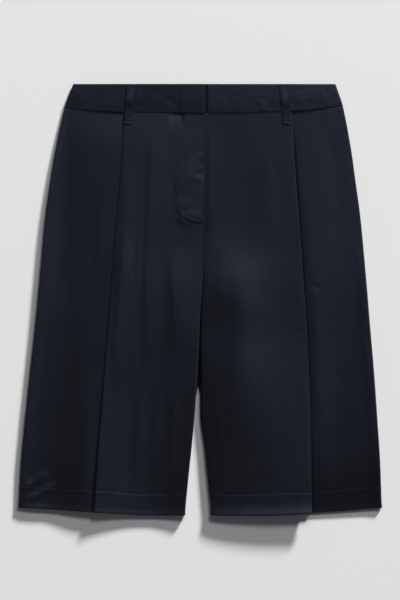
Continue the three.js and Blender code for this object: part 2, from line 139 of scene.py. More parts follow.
def satin(name, colour=NAVY, roughness=0.42, wrinkle=0.25):
    """Satin by the cloth's own UV map, which is in metres: u across the cut and v down it."""
    material = plain_material(name, colour, roughness)
    tree = material.node_tree
    nodes, links = tree.nodes, tree.links
    shader = nodes["Principled BSDF"]
    shader.inputs["Specular IOR Level"].default_value = 0.7
    shader.inputs["Specular Tint"].default_value = (0.465, 0.62, 1.0, 1)
    shader.inputs["Sheen Weight"].default_value = 0.06
    shader.inputs["Sheen Roughness"].default_value = 0.4
    cut = nodes.new("ShaderNodeUVMap")
    cut.uv_map = "cut"

    def noise(scale, stretch, detail, rough=0.5):
        place = nodes.new("ShaderNodeMapping")
        place.inputs["Scale"].default_value = stretch
        texture = nodes.new("ShaderNodeTexNoise")
        texture.inputs["Scale"].default_value = scale
        texture.inputs["Detail"].default_value = detail
        texture.inputs["Roughness"].default_value = rough
        links.new(cut.outputs[0], place.inputs[0])
        links.new(place.outputs[0], texture.inputs["Vector"])
        return texture.outputs["Fac"]

    streaks = noise(260, (1.0, 0.05, 1.0), 3)
    clouds = noise(9, (1.0, 0.45, 1.0), 2)
    tint = nodes.new("ShaderNodeMix")
    tint.data_type = "RGBA"
    tint.inputs[6].default_value = (*[c * 0.9 for c in colour], 1)
    tint.inputs[7].default_value = (*[c * 1.1 for c in colour], 1)
    both = nodes.new("ShaderNodeMath")
    both.operation = "MULTIPLY_ADD"
    both.inputs[1].default_value = 0.3
    links.new(streaks, both.inputs[0])
    half = nodes.new("ShaderNodeMath")
    half.operation = "MULTIPLY"
    half.inputs[1].default_value = 0.7
    links.new(clouds, half.inputs[0])
    links.new(half.outputs[0], both.inputs[2])
    links.new(both.outputs[0], tint.inputs[0])
    links.new(tint.outputs[2], shader.inputs["Base Color"])

    gloss = nodes.new("ShaderNodeMapRange")
    gloss.inputs["To Min"].default_value = roughness - 0.02
    gloss.inputs["To Max"].default_value = roughness + 0.03
    links.new(both.outputs[0], gloss.inputs["Value"])
    links.new(gloss.outputs[0], shader.inputs["Roughness"])

    weave = nodes.new("ShaderNodeTexWave")
    weave.wave_type = "BANDS"
    weave.bands_direction = "DIAGONAL"
    weave.inputs["Scale"].default_value = 420
    weave.inputs["Distortion"].default_value = 1.2
    weave.inputs["Detail"].default_value = 2
    links.new(cut.outputs[0], weave.inputs["Vector"])
    fine = nodes.new("ShaderNodeBump")
    fine.inputs["Strength"].default_value = 0.12
    fine.inputs["Distance"].default_value = 0.0001
    links.new(weave.outputs["Fac"], fine.inputs["Height"])
    soft = nodes.new("ShaderNodeBump")
    soft.inputs["Strength"].default_value = wrinkle
    soft.inputs["Distance"].default_value = 0.0016
    links.new(noise(70, (1.0, 0.32, 1.0), 3, 0.45), soft.inputs["Height"])
    links.new(fine.outputs[0], soft.inputs["Normal"])
    links.new(soft.outputs[0], shader.inputs["Normal"])
    return material


navy_satin = satin("navy_satin")

# The two fronts
# Each front is one cut of satin with its knife pleat folded in: the pleat is sewn shut below
# the waistband and springs open towards the hem. The right front laps over the left one at
# the fly. The hem is turned up inside and blind-stitched, and the fly is topstitched.
LENGTH = 626.0
CLOTH = 1.0
SHELL = 0.45
GAP = 0.3
SEAM_DOWN = 42.8
FLY_END = 203.0
CROTCH = 291.0
HEM = 30.0
HEM_TURN = 0.8
LOOP_THICK, LOOP_WIDE, LOOP_LONG = 1.2, 11.0, 58.0
LIFT = LOOP_THICK + GAP
PLEAT_STITCHED = 150.0
TURN_DEEP_SEWN, TURN_DEEP_HEM = 24, 16
SIDE_ROLL = 1.3
RIM_WIDE = 11
LAP_SWELL = 1.1
PRESSED = 1.1


def table(names, rows):
    """Rows of numbers as one array for each named column."""
    return dict(zip(names.split(), np.array(rows, float).T))


CENTRE_LINE = table(
    "down edge apart",
    [
        (0, 7.6, -5.0),
        (110, 7.2, -5.0),
        (154, 6.6, -5.0),
        (203, 5.0, -5.0),
        (219, 3.8, 0.3),
        (238, 2.8, 0.3),
        (262, 4.9, 0.3),
        (291, 3.6, 0.6),
        (328, 0.4, 1.2),
        (381, -1.9, 2.4),
        (429, -4.4, 4.6),
        (480, -7.6, 7.8),
        (524, -11.7, 17.5),
        (567, -16.2, 26.2),
        (626, -22.0, 38.4),
    ],
)

# The numbers of each leg. seam_rise is how far the waist seam rises at the side, and hem how
# far the hem line rises there, from where and by which power. flare is how much fuller the
# hem is inside and outside the pleat. rim is how much higher the side edge stands, over the
# stretch of rim_from. pleat_puckers gives their start, end, spacing and rise, and turn_drop
# how far the pleat's inner turn sinks at the hem. cut_area is in square metres.
# The heights are those of the cloth's face at four places across, how far it crowns between
# them, the power by which it rises to the fold, and a trough beside the fold.
EDGE_COLUMNS = "down side fold"
HEIGHT_COLUMNS = "down inner fold under side inner_crown outer_crown swell gutter"
RIGHT_LEG = {
    "toward": -1,
    "cut_area": 0.176,
    "seam_rise": 6.5,
    "hem": (11.6, 85, 0.95),
    "flare": (0.2, 0.0),
    "rim": 2.3,
    "rim_from": (50, 170),
    "pleat_puckers": (290, 500, 19, 0.14),
    "turn_drop": 3.4,
    "edges": table(
        EDGE_COLUMNS,
        [
            (0, 184.0, 109.5),
            (36, 195.6, 111.0),
            (110, 211.4, 113.5),
            (154, 218.4, 117.2),
            (203, 225.1, 121.3),
            (291, 233.0, 128.4),
            (371, 240.8, 134.5),
            (436, 247.9, 139.5),
            (502, 254.8, 144.7),
            (560, 260.3, 149.2),
            (626, 264.0, 153.7),
        ],
    ),
    "heights": table(
        HEIGHT_COLUMNS,
        [
            (36, 5.2, 6.0, 4.2, 4.8, 0.1, 0.3, 1.0, 0.0),
            (84, 5.3, 7.3, 5.9, 6.0, 0.5, 0.3, 1.0, -0.1),
            (154, 5.4, 7.9, 6.2, 6.2, 0.9, -0.3, 1.1, -0.2),
            (291, 8.0, 10.8, 8.8, 7.2, 0.2, -1.2, 1.6, -0.3),
            (345, 9.6, 12.8, 10.8, 6.8, -2.2, -1.5, 1.4, -0.2),
            (436, 12.4, 15.2, 13.0, 6.4, -6.5, -1.8, 1.2, 0.0),
            (560, 13.6, 17.4, 14.9, 5.8, -8.0, -1.6, 1.2, 1.2),
            (626, 11.4, 17.4, 13.6, 4.6, -5.6, -0.6, 1.3, 0.4),
        ],
    ),
}
LEFT_LEG = {
    "toward": 1,
    "cut_area": 0.179,
    "seam_rise": 9.8,
    "hem": (11.0, 100, 1.3),
    "flare": (1.5, 0.0),
    "rim": 1.4,
    "rim_from": (230, 310),
    "pleat_puckers": (270, 420, 23, 0.14),
    "turn_drop": 0.4,
    "edges": table(
        EDGE_COLUMNS,
        [
            (0, 196.6, 130.5),
            (36, 206.3, 132.5),
            (110, 220.1, 137.0),
            (154, 226.1, 140.2),
            (203, 232.7, 143.6),
            (291, 241.0, 150.0),
            (371, 247.7, 155.2),
            (436, 253.2, 158.2),
            (502, 257.8, 160.2),
            (560, 261.6, 161.0),
            (626, 264.0, 161.3),
        ],
    ),
    "heights": table(
        HEIGHT_COLUMNS,
        [
            (36, 5.2, 6.0, 4.2, 4.8, 0.0, 0.3, 1.4, 0.0),
            (154, 5.2, 8.0, 6.4, 5.8, -0.8, 0.4, 1.8, 0.6),
            (291, 7.2, 12.2, 10.2, 7.6, 1.2, -0.6, 1.3, 1.6),
            (360, 6.6, 13.2, 11.2, 9.4, 2.2, -1.2, 0.95, 1.8),
            (436, 6.4, 14.4, 11.2, 11.6, 4.4, -2.2, 0.7, 1.0),
            (530, 8.4, 16.4, 11.0, 12.4, 3.8, -1.4, 0.75, 0.6),
            (560, 9.2, 17.8, 10.0, 11.6, 3.2, -0.8, 0.75, 0.4),
            (626, 11.0, 20.2, 3.8, 4.6, 1.6, 0.0, 0.75, 0.0),
        ],
    ),
}

# Soft troughs and ridges of the fronts, each a run from one place to another. rise is its
# height, in_wide and out_wide its half-widths towards the middle and the side, bow how far
# its middle bends outwards.
FOLD_COLUMNS = "out0 down0 out1 down1 rise in_wide out_wide bow"
RIGHT_LEG["inner_folds"] = table(
    FOLD_COLUMNS,
    [
        (68, 70, 80, 440, 1.2, 19, 6, 2),
        (83, 150, 92, 330, 0.45, 7, 5, 0),
        (103, 120, 114, 300, 0.9, 17, 9, 0),
        (109, 220, 124, 450, 1.8, 24, 9, 0),
        (39, 242, 34, 392, 1.6, 23, 10, 0),
        (98, 440, 111, 590, -0.9, 8, 9, -2),
        (84, 450, 96, 585, 0.6, 7, 7, 0),
        (58, 430, 66, 590, 0.35, 5, 5, 2),
        (36, 420, 44, 600, 0.35, 6, 5, 0),
        (22, 40, 46, 40, -1.2, 16, 8, 0),
    ],
)
RIGHT_LEG["outer_folds"] = table(
    FOLD_COLUMNS,
    [
        (196, 50, 206, 590, -2.6, 30, 26, 0),
        (208, 290, 214, 500, 1.2, 22, 16, 0),
        (150, 150, 158, 300, -0.4, 9, 12, 3),
        (175, 470, 182, 560, -0.5, 12, 12, 0),
        (258, 600, 220, 572, 1.4, 6, 6, 1),
        (252, 616, 210, 588, 1.3, 5, 5, 1),
    ],
)
LEFT_LEG["inner_folds"] = table(
    FOLD_COLUMNS,
    [
        (68, 252, 46, 520, 3.0, 27, 38, 0),
        (66, 300, 52, 440, 0.9, 12, 24, 2),
        (10, 70, 14, 250, 0.8, 8, 22, 0),
        (96, 80, 104, 240, 0.5, 18, 8, 0),
        (100, 560, 70, 620, -0.5, 10, 10, 0),
        (16, 430, 40, 560, 0.4, 6, 6, 0),
        (70, 540, 60, 600, 0.35, 6, 6, 2),
    ],
)
LEFT_LEG["outer_folds"] = table(
    FOLD_COLUMNS,
    [
        (201, 300, 199, 600, -2.6, 20, 32, 0),
        (166, 380, 167, 560, 0.5, 6, 5, 0),
        (150, 292, 178, 304, -0.35, 5, 5, 0),
        (156, 372, 170, 380, -0.3, 5, 5, 0),
        (190, 60, 205, 240, -0.4, 14, 10, 2),
    ],
)

# Broad mounds and hollows of the same cloth: where each lies, its rise, its half-width
# across the garment and its half-lengths towards the waist and the hem.
MOUND_COLUMNS = "out down rise wide up_long down_long"
RIGHT_LEG["inner_mounds"] = table(
    MOUND_COLUMNS, [(70, 600, -0.6, 30, 40, 40)]
)
RIGHT_LEG["outer_mounds"] = table(
    MOUND_COLUMNS,
    [(190, 360, 0.8, 28, 70, 70), (176, 545, 1.6, 30, 150, 44), (243, 640, 4.0, 22, 34, 30)],
)
LEFT_LEG["inner_mounds"] = table(
    MOUND_COLUMNS, [(32, 298, 2.2, 34, 64, 36), (90, 500, 2.8, 62, 90, 60)]
)
LEFT_LEG["outer_mounds"] = table(MOUND_COLUMNS, [(206, 488, 2.4, 44, 150, 72)])


def read(columns, name, place, key="down"):
    """A column at any places: a cubic between its rows, with each slope the harmonic mean of
    the rates before and after, or 0 where they differ in sign, so that it never overshoots."""
    x, y = columns[key], columns[name]
    rate = np.diff(y) / np.diff(x)
    slope = np.zeros_like(y)
    slope[0], slope[-1] = rate[0], rate[-1]
    before, after = rate[:-1], rate[1:]
    same = before * after > 0
    slope[1:-1][same] = 2 * before[same] * after[same] / (before[same] + after[same])
    at = np.clip(place, x[0], x[-1])
    i = np.clip(np.searchsorted(x, at, side="right") - 1, 0, len(x) - 2)
    span = x[i + 1] - x[i]
    t = (at - x[i]) / span
    return (
        (2 * t**3 - 3 * t**2 + 1) * y[i]
        + (t**3 - 2 * t**2 + t) * span * slope[i]
        + (3 * t**2 - 2 * t**3) * y[i + 1]
        + (t**3 - t**2) * span * slope[i + 1]
    )


def mix(a, b, t):
    return a + (b - a) * t


def fade(start, end, at):
    """0 before start, 1 after end, and a smooth step between them."""
    t = np.clip((at - start) / (end - start), 0, 1)
    return t * t * (3 - 2 * t)


def side(leg, down):
    return read(leg["edges"], "side", down)


def inner_edge(leg, down):
    edge = read(CENTRE_LINE, "edge", down)
    return -edge if leg is RIGHT_LEG else edge + read(CENTRE_LINE, "apart", down)


def row_down(leg, out, share):
    """How far down a row of a panel lies at some place out: share is 0 at the waistband seam
    and 1 at the hem, and both lines rise towards the side by a power of the distance out."""
    reach = np.maximum(0, out)
    seam = SEAM_DOWN + GAP / 2 - leg["seam_rise"] * (reach / side(leg, SEAM_DOWN)) ** 3
    rise, start, power = leg["hem"]
    past = np.maximum(0, reach - start) / (side(leg, LENGTH) - start)
    return mix(seam, LENGTH - rise * past**power, share)


def lift(down):
    """How high the back stands over its belt loops."""
    return LIFT * (1 - fade(66, 92, down))


def back_curl(down):
    """The radius of the back's turned-up edges."""
    return CLOTH / 2 + mix(0.2, 1.3, fade(SEAM_DOWN, SEAM_DOWN + 70, down))


def seam_height(down):
    """The height of the side seams and inseams."""
    return lift(down) + CLOTH / 2 + back_curl(down)


def inseam_turn(down):
    """0 where the fronts meet flat along the centre, 1 where their edges turn down."""
    return fade(FLY_END + 55, CROTCH + 40, down)


def inner_height(leg, down):
    """The height of a front's face just out from its inner edge. Along the fly the layers lie
    on each other: the back, the fly shield, the left front and the right front."""
    under_fly = LIFT + 2 * (CLOTH + GAP) + CLOTH
    under_fly = under_fly - 0.5 * (1 - fade(46, 120, down))
    free = read(leg["heights"], "inner", down)
    if leg is RIGHT_LEG:
        return mix(under_fly + CLOTH + GAP, free, fade(FLY_END - 30, FLY_END + 110, down))
    return mix(under_fly, free, fade(FLY_END - 10, FLY_END + 90, down))


def soft_folds(folds, out, down):
    """The height added by a table of folds: each is a bell across its run, with its own
    half-width on each side, times a smooth step at both ends."""
    rise = np.zeros(np.broadcast(out, down).shape)
    for out0, down0, out1, down1, height, in_wide, out_wide, bow in zip(*folds.values()):
        run_out, run_down = out1 - out0, down1 - down0
        run = math.hypot(run_out, run_down)
        along = ((out - out0) * run_out + (down - down0) * run_down) / run**2
        away = ((out - out0) * run_down - (down - down0) * run_out) / run
        away = away - bow * np.sin(math.pi * np.clip(along, 0, 1))
        wide = np.where(away < 0, in_wide, out_wide)
        ends = fade(-0.08, 0.3, along) * (1 - fade(0.68, 1.08, along))
        rise += height * ends * np.exp(-((away / wide) ** 2))
    return rise


def mounds(spots, out, down):
    """The height added by a table of mounds: each is a bell in both directions."""
    rise = np.zeros(np.broadcast(out, down).shape)
    for spot_out, spot_down, height, wide, up_long, down_long in zip(*spots.values()):
        long = np.where(down < spot_down, up_long, down_long)
        away = ((out - spot_out) / wide) ** 2 + ((down - spot_down) / long) ** 2
        rise += height * np.exp(-away)
    return rise


def fly_relief(leg, out, down):
    """What shows through the right front round the fly: the shield's rounded end, the two
    topstitched furrows that end in a curve, puckers along the fly's edge and the soft mounds
    where the layers lie on each other."""
    if leg is not RIGHT_LEG:
        return np.zeros(np.broadcast(out, down).shape)
    shield = 1 - fade(31, 40, out + 0.25 * np.maximum(0, down - 175))
    rise = 0.6 * shield * fade(120, 150, down) * (1 - fade(FLY_END - 6, FLY_END + 4, down))
    for inset, deep in zip(TOPSTITCH_ROWS, FURROW_DEPTHS):
        away = topstitch_distance(out, down, inset)
        strength = mix(0.1, 1.0, fade(176, 200, down))
        rise = rise - deep * strength * np.exp(-((away / 1.2) ** 2)) * fade(46, 60, down)
    return rise + mounds(FLY_PUCKERS, out, down)


FLY_PUCKERS = table(
    MOUND_COLUMNS,
    [
        (1, 63, -0.2, 4, 2.6, 2.6),
        (-1, 98, -0.2, 4, 2.2, 2.2),
        (-1, 104, 0.14, 4, 2.4, 2.4),
        (-1, 113, -0.2, 4, 2.2, 2.2),
        (0, 122, 0.14, 6, 3, 3),
        (0, 130, -0.2, 6, 2.6, 2.6),
        (4, 138, 0.16, 8, 3.2, 3.2),
        (6, 146, -0.2, 8, 3, 3),
        (26, 160, -0.25, 6, 8, 12),
        (16, 128, 0.5, 14, 14, 20),
        (22, 175, 0.4, 9, 10, 8),
        (16, 192, 0.8, 15, 9, 16),
    ],
)
TOPSTITCH_ROWS = (0.0, 6.5)
FURROW_DEPTHS = (0.34, 0.22)
TOPSTITCH_OUT = 37.5
TOPSTITCH_TURN = 34.0


def topstitch_distance(out, down, inset):
    """The distance to the fly's topstitching, inset from the outer row: a straight line down
    that turns through a quarter circle into the fly's end, by its signed circle distance."""
    line = TOPSTITCH_OUT - inset
    end = FLY_END - inset
    centre_out, centre_down = line - TOPSTITCH_TURN, end - TOPSTITCH_TURN
    round_part = np.hypot(out - centre_out, down - centre_down) - TOPSTITCH_TURN
    lower = np.where(out < centre_out, down - end, round_part)
    return np.where(down < centre_down, out - line, lower)


PUCKER_INSIDE, PUCKER_WIDE = 6, 4
HEM_RIDGE, HEM_DENT = 0.3, 0.24


def pleat_puckers(leg, down, from_fold):
    """Uneven little puckers that follow a pleat's fold just inside it."""
    start, end, every, rise = leg["pleat_puckers"]
    wave = np.sin(2 * math.pi * down / every + 2.0 * np.sin(down / 29))
    wave = wave * (0.7 + 0.3 * np.sin(down / 19))
    ends = fade(start, start + 30, down) * (1 - fade(end - 60, end, down))
    return rise * wave * ends * np.exp(-(((from_fold - PUCKER_INSIDE) / PUCKER_WIDE) ** 2))


def hem_relief(down, hem_down, out, phase, flare):
    """The turned hem seen from its face: a low ridge where its upper edge lies, with dents at
    the blind stitches, and a fuller hem below it that flares up towards its edge."""
    above = hem_down - down
    wander = HEM + 0.7 * np.sin(out * 0.05 + phase) + 0.4 * np.sin(out * 0.19 + 2 * phase)
    uneven = 0.65 + 0.35 * np.sin(out * 0.083 + 3 * phase) * np.sin(out * 0.31 + phase)
    ridge = HEM_RIDGE * uneven * np.exp(-(((above - wander + 1.2) / 1.5) ** 2))
    dent = -HEM_DENT * uneven * np.exp(-(((above - wander - 1.4) / 1.6) ** 2))
    ripple = 0.12 * np.sin(out * 0.23 + phase) * np.exp(-(((above - HEM) / 9) ** 2))
    fuller = flare * (1 - fade(0, 18, above)) + 0.5 * (1 - fade(0, 9, above))
    return ridge + dent + ripple + fuller


def front_line(leg, down, columns):
    """The middle line of the cloth across a front, for a column of distances down: the roll
    at the inner edge, the inner part, the half circle of the pleat's fold, the run back under
    it, the half circle of its inner turn, the outer part and the roll at the side. Gives the
    places out and up, one row for each distance down."""
    open_ = np.clip((down - PLEAT_STITCHED) / (LENGTH - PLEAT_STITCHED), 0, 1)
    fold_radius = mix(0.5, 0.6, open_**2)
    under_radius = mix(0.45, 0.55, open_**2)
    heights = leg["heights"]
    fold_out = read(leg["edges"], "fold", down)
    fold_z = read(heights, "fold", down) - CLOTH / 2
    inner_z = inner_height(leg, down) - CLOTH / 2
    outer_z = read(heights, "under", down) - CLOTH / 2
    side_z = read(heights, "side", down) - CLOTH / 2
    seam_z = seam_height(down) + GAP / 2
    turned = inseam_turn(down)
    lap = np.maximum(0, -read(CENTRE_LINE, "apart", down)) if leg is LEFT_LEG else 0 * down
    parts = []

    start = inner_edge(leg, down) + (CLOTH / 2) * np.sin(turned * math.pi / 2)
    tucked = np.maximum(0, lap - 1)
    loose_roll = 0.5 if leg is RIGHT_LEG else mix(0.6, 1.0, fade(440, 620, down))
    roll = mix(0.6, loose_roll, turned) + tucked
    inner_from = start + roll + lap - tucked
    inner_to = fold_out - CLOTH / 2 - fold_radius
    t = np.linspace(0, 1, columns["inner"])
    out = mix(inner_from, inner_to, t)
    free = fade(FLY_END + 6, FLY_END + 50, down)
    near = (1 - (1 - free) * (1 - fade(0, 0.06, t))) * fade(0, 0.03, 1 - t)
    relief = soft_folds(leg["inner_folds"], out, down) + mounds(leg["inner_mounds"], out, down)
    relief = relief * near
    angle = np.arange(columns["roll"]) / columns["roll"] * math.pi / 2
    low = mix(inner_z - 0.3, seam_z, turned)
    edge_z = inner_z + relief[:, :1] * free
    parts.append((start + roll * (1 - np.cos(angle)), mix(low, edge_z, np.sin(angle))))

    if leg is LEFT_LEG:
        inner_z = inner_z + LAP_SWELL * (1 - fade(FLY_END - 60, FLY_END + 60, down))
    lean = 0.6 if leg is LEFT_LEG else 1.0
    crown = read(heights, "inner_crown", down) * np.sin(math.pi * t**lean)
    z = mix(inner_z, fold_z, t ** read(heights, "swell", down)) + crown + relief
    z = z + pleat_puckers(leg, down, fold_out - out) * near
    parts.append((out, z + fly_relief(leg, out, down) * fade(0, 0.01, t)))

    angle = np.arange(1, columns["turn"] + 1) / columns["turn"] * math.pi
    turn_up = fold_z - fold_radius * (1 - np.cos(angle))
    parts.append((inner_to + fold_radius * np.sin(angle), turn_up))

    turn_out = fold_out - mix(TURN_DEEP_SEWN, TURN_DEEP_HEM, open_)
    turn_z = outer_z - leg["turn_drop"] * open_**0.6
    t = np.arange(1, columns["under"] + 1) / columns["under"]
    under_line = mix(fold_z - 2 * fold_radius, turn_z + 2 * under_radius, fade(0, 1, t))
    parts.append((mix(inner_to, turn_out, t), under_line))
    turn_up = turn_z + under_radius * (1 + np.cos(angle))
    parts.append((turn_out - under_radius * np.sin(angle), turn_up))

    outer_to = side(leg, down) - CLOTH / 2 - SIDE_ROLL
    t = np.arange(1, columns["outer"] + 1) / columns["outer"]
    out = mix(turn_out, outer_to, t)
    past = np.clip((out - fold_out) / (outer_to - fold_out), 0, 1)
    low = mix(turn_z, outer_z, fade(0, 1, (out - turn_out) / (fold_out - turn_out)))
    crown = read(heights, "outer_crown", down) * np.sin(math.pi * past**0.8)
    relief = soft_folds(leg["outer_folds"], out, down) + mounds(leg["outer_mounds"], out, down)
    relief = relief * fade(0, 0.2, past) * fade(0, 0.1, 1 - past)
    rim = leg["rim"] * fade(*leg["rim_from"], down)
    relief = relief + rim * np.exp(-(((outer_to - out) / RIM_WIDE) ** 2))
    side_z = side_z + rim
    relief = relief - read(heights, "gutter", down) * np.exp(-(((out - fold_out) / 9) ** 2))
    pressed = PRESSED if leg is LEFT_LEG else 0.0
    relief = relief - pressed * fade(60, 110, down) * np.exp(-(((out - fold_out) / 2.2) ** 2))
    parts.append((out, mix(low, side_z - rim, fade(0, 1, past)) + crown + relief))

    angle = np.arange(1, columns["roll"] + 1) / columns["roll"] * math.pi / 2
    parts.append((outer_to + SIDE_ROLL * np.sin(angle), mix(seam_z, side_z, np.cos(angle))))

    out = np.concatenate([np.broadcast_to(o, (len(down), o.shape[1])) for o, _ in parts], axis=1)
    z = np.concatenate([np.broadcast_to(h, (len(down), h.shape[1])) for _, h in parts], axis=1)
    return out, z


def sideways(out, z):
    """Unit normals of lines in the plane across the garment, by central differences."""
    run_out = np.gradient(out, axis=1)
    run_z = np.gradient(z, axis=1)
    length = np.maximum(np.hypot(run_out, run_z), 1e-9)
    return -run_z / length, run_out / length


def panel_rows(spans, hem):
    """Rows of a panel as shares from the seam to the hem, with the turned hem's rows after
    them, and for each the angle that it has gone round the hem's turn."""
    down = np.concatenate([np.linspace(lo, hi, count, endpoint=False) for lo, hi, count in spans])
    drop = HEM_TURN / (LENGTH - SEAM_DOWN)
    back = np.linspace(0, (hem - HEM_TURN) / (LENGTH - SEAM_DOWN), 11)[1:]
    share = (down - SEAM_DOWN) / (LENGTH - SEAM_DOWN)
    shares = np.concatenate([share, np.full(7, 1 - drop), 1 - drop - back])
    angles = np.concatenate([np.zeros(len(share)), np.linspace(0, math.pi, 7), np.full(10, math.pi)])
    return shares, angles


def front_surface(leg, columns, spans, phase):
    """Both faces of a front's cloth in millimetres, as arrays of rows, columns and x, y, z.
    The face lies half a layer off the middle line. At the hem both faces go round a half
    circle about a centre inside the leg, and run back up as the turning."""
    share, angle = panel_rows(spans, HEM)
    nominal = mix(SEAM_DOWN, LENGTH, share)[:, None]
    out, z = front_line(leg, nominal, columns)
    across, up = sideways(out, z)
    hem_down = row_down(leg, out, 1.0)
    down = row_down(leg, out, share[:, None])
    beyond_fold = fade(-2, 2, out - read(leg["edges"], "fold", nominal))
    relief = hem_relief(down, hem_down, out, phase, mix(*leg["flare"], beyond_fold))
    faces = []
    centre = CLOTH / 2 - HEM_TURN
    for radius in (HEM_TURN, HEM_TURN - SHELL):
        off = centre + radius * np.cos(angle)[:, None] + relief
        beyond = radius * np.sin(angle)[:, None]
        x = leg["toward"] * (out + off * across)
        y = LENGTH / 2 - (down + beyond)
        faces.append(np.stack([x, y, z + off * up], axis=-1))
    return faces


def cloth_mesh(name, faces, material, flip=False, thin=1, grain="down"):
    """A closed piece of cloth between two grids of points, its face and its inner side. The
    face keeps every point, the inner side every thin-th one, and triangles join the two
    borders. The UV map is the distance along the middle row and the middle column, in metres,
    turned by a quarter where the grain runs across the piece."""
    face, inside = faces
    inside = inside[::thin, ::thin]
    rows, cols = face.shape[:2]
    in_rows, in_cols = inside.shape[:2]
    points = np.concatenate([face.reshape(-1, 3), inside.reshape(-1, 3)]) * 0.001

    def quads(n_rows, n_cols, start):
        i, j = np.meshgrid(np.arange(n_rows - 1), np.arange(n_cols - 1), indexing="ij")
        a = start + (i * n_cols + j).ravel()
        return np.stack([a, a + n_cols, a + n_cols + 1, a + 1], axis=1)

    def border(n_rows, n_cols, start):
        top = np.arange(n_cols - 1)
        right = np.arange(n_rows - 1) * n_cols + n_cols - 1
        bottom = (n_rows - 1) * n_cols + np.arange(n_cols - 1, 0, -1)
        left = np.arange(n_rows - 1, 0, -1) * n_cols
        return start + np.concatenate([top, right, bottom, left])

    outer = quads(rows, cols, 0)
    inner = quads(in_rows, in_cols, rows * cols)[:, ::-1]
    rim, low = border(rows, cols, 0), border(in_rows, in_cols, rows * cols)
    after, half = np.roll(low, -1), (thin + 1) // 2
    rim = np.append(rim, rim[0])
    edge = [np.stack([rim[j:-1:thin], rim[j + 1 :: thin], low if j < half else after], axis=1)
            for j in range(thin)]
    edge = np.concatenate(edge + [np.stack([rim[half::thin], after, low], axis=1)])
    if flip:
        outer, inner, edge = outer[:, ::-1], inner[:, ::-1], edge[:, ::-1]

    loops = np.concatenate([outer.ravel(), inner.ravel(), edge.ravel()]).astype(np.int32)
    four, three = len(outer) + len(inner), len(edge)
    starts = np.concatenate([np.arange(four) * 4, four * 4 + np.arange(three) * 3])
    mesh = bpy.data.meshes.new(name)
    mesh.vertices.add(len(points))
    mesh.loops.add(len(loops))
    mesh.polygons.add(four + three)
    mesh.vertices.foreach_set("co", points.ravel())
    mesh.loops.foreach_set("vertex_index", loops)
    mesh.polygons.foreach_set("loop_start", starts.astype(np.int32))
    mesh.update(calc_edges=True)

    def lengths(grid):
        u = np.linalg.norm(np.diff(grid[grid.shape[0] // 2], axis=0), axis=1)
        v = np.linalg.norm(np.diff(grid[:, grid.shape[1] // 2], axis=0), axis=1)
        u, v = np.concatenate([[0], np.cumsum(u)]), np.concatenate([[0], np.cumsum(v)])
        pair = np.meshgrid(u, v) if grain == "down" else np.meshgrid(u, v)[::-1]
        return np.stack(pair, axis=-1).reshape(-1, 2) * 0.001

    cut = np.concatenate([lengths(face), lengths(inside)])
    layer = mesh.uv_layers.new(name="cut")
    layer.data.foreach_set("uv", cut[loops].ravel())
    mesh.shade_smooth()
    mesh.materials.append(material)
    piece = bpy.data.objects.new(name, mesh)
    bpy.context.scene.collection.objects.link(piece)
    return piece


def sewn_on(piece, node):
    """Hangs a piece of cloth that stands for a node of the model on the root body, and hides the
    model's own part for that node.
    """
    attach(piece, "root")
    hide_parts(node)


def twisted_thread():
    """Navy polyester thread whose plies show as fine slanting bands."""
    material = plain_material("navy_thread", (0.0026, 0.0022, 0.0032), 0.7)
    material.node_tree.nodes["Principled BSDF"].inputs["Specular IOR Level"].default_value = 0.25
    nodes, links = material.node_tree.nodes, material.node_tree.links
    place = nodes.new("ShaderNodeTexCoord")
    plies = nodes.new("ShaderNodeTexWave")
    plies.bands_direction = "DIAGONAL"
    plies.inputs["Scale"].default_value = 700
    bump = nodes.new("ShaderNodeBump")
    bump.inputs["Strength"].default_value = 0.4
    bump.inputs["Distance"].default_value = 0.0001
    links.new(place.outputs["Object"], plies.inputs["Vector"])
    links.new(plies.outputs["Fac"], bump.inputs["Height"])
    links.new(bump.outputs[0], nodes["Principled BSDF"].inputs["Normal"])
    return material


navy_thread = twisted_thread()
THREAD_BULGE, THREAD_SINK = 1.3, 0.6
RAY_FROM = 0.1
THREAD_RADIUS = 0.22
STITCH, STITCH_GAP = 2.3, 0.6
STITCH_SIDES, STITCH_RINGS = 6, 7


